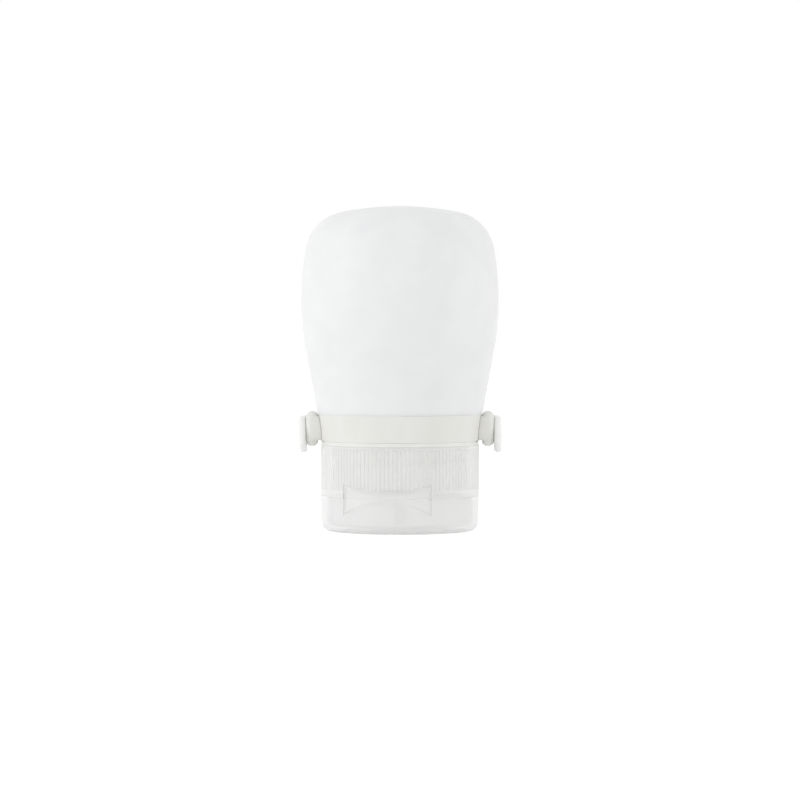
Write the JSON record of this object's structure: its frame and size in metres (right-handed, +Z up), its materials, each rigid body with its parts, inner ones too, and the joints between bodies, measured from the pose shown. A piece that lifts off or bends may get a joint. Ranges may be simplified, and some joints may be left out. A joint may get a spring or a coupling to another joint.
{
  "type": "travel silicone bottle",
  "caption": "Small squeeze bottle of milky silicone on a clear ribbed screw cap with a flip lid, with a turning collar and a hanging strap.",
  "frame": {"origin": "middle of the flip lid's flat outer face, which the bottle stands on", "axes": "+Z up along the bottle's axis from lid to crown, -Y towards the viewer and the lid's hinge, +X to the viewer's right through one collar boss"},
  "size_m": [0.0406, 0.0443, 0.0648],
  "materials": {
    "silicone": "satin",
    "neck_plastic": "satin",
    "seal_rubber": "matte",
    "collar_plastic": "satin",
    "strap_rubber": "matte",
    "clear_plastic": "gloss"
  },
  "bodies": {
    "cap": {"cap_base": "clear_plastic", "hinge_web": "clear_plastic", "slit_valve": "seal_rubber", "valve_retainer": "neck_plastic"},
    "lid": {"flip_lid": "clear_plastic"},
    "seal": {"neck_seal": "seal_rubber"},
    "bottle": {"bottle_body": "silicone", "neck_ring": "neck_plastic"},
    "collar_ring": {"collar": "collar_plastic"},
    "strap": {"hang_strap": "strap_rubber"}
  },
  "joints": [
    {"name": "lid_hinge", "type": "hinge", "parent": "cap", "child": "lid", "pos_m": [-0.00312, -0.01574, 0.00706], "axis": [-0.981, 0.1942, 0], "range_deg": [0, 175], "deforming": ["hinge_web"]},
    {"name": "bottle_lift", "type": "slide", "parent": "cap", "child": "seal", "axis": [0, 0, 1], "range_m": [0, 0.0064]},
    {"name": "bottle_turn", "type": "hinge", "parent": "seal", "child": "bottle", "pos_m": [0, 0, 0.00932], "axis": [0, 0, 1], "range_deg": [0, 720]},
    {"name": "collar_turn", "type": "hinge", "parent": "bottle", "child": "collar_ring", "pos_m": [0, 0, 0.0204], "axis": [0, 0, 1], "continuous": true},
    {"name": "strap_swing", "type": "hinge", "parent": "collar_ring", "child": "strap", "pos_m": [0, 0, 0.0204], "axis": [1, 0, 0], "range_deg": [-8, 30]}
  ],
  "couplings": [
    {"joint": "bottle_lift", "follows": "bottle_turn", "m_per_rad": 0.0005093}
  ]
}
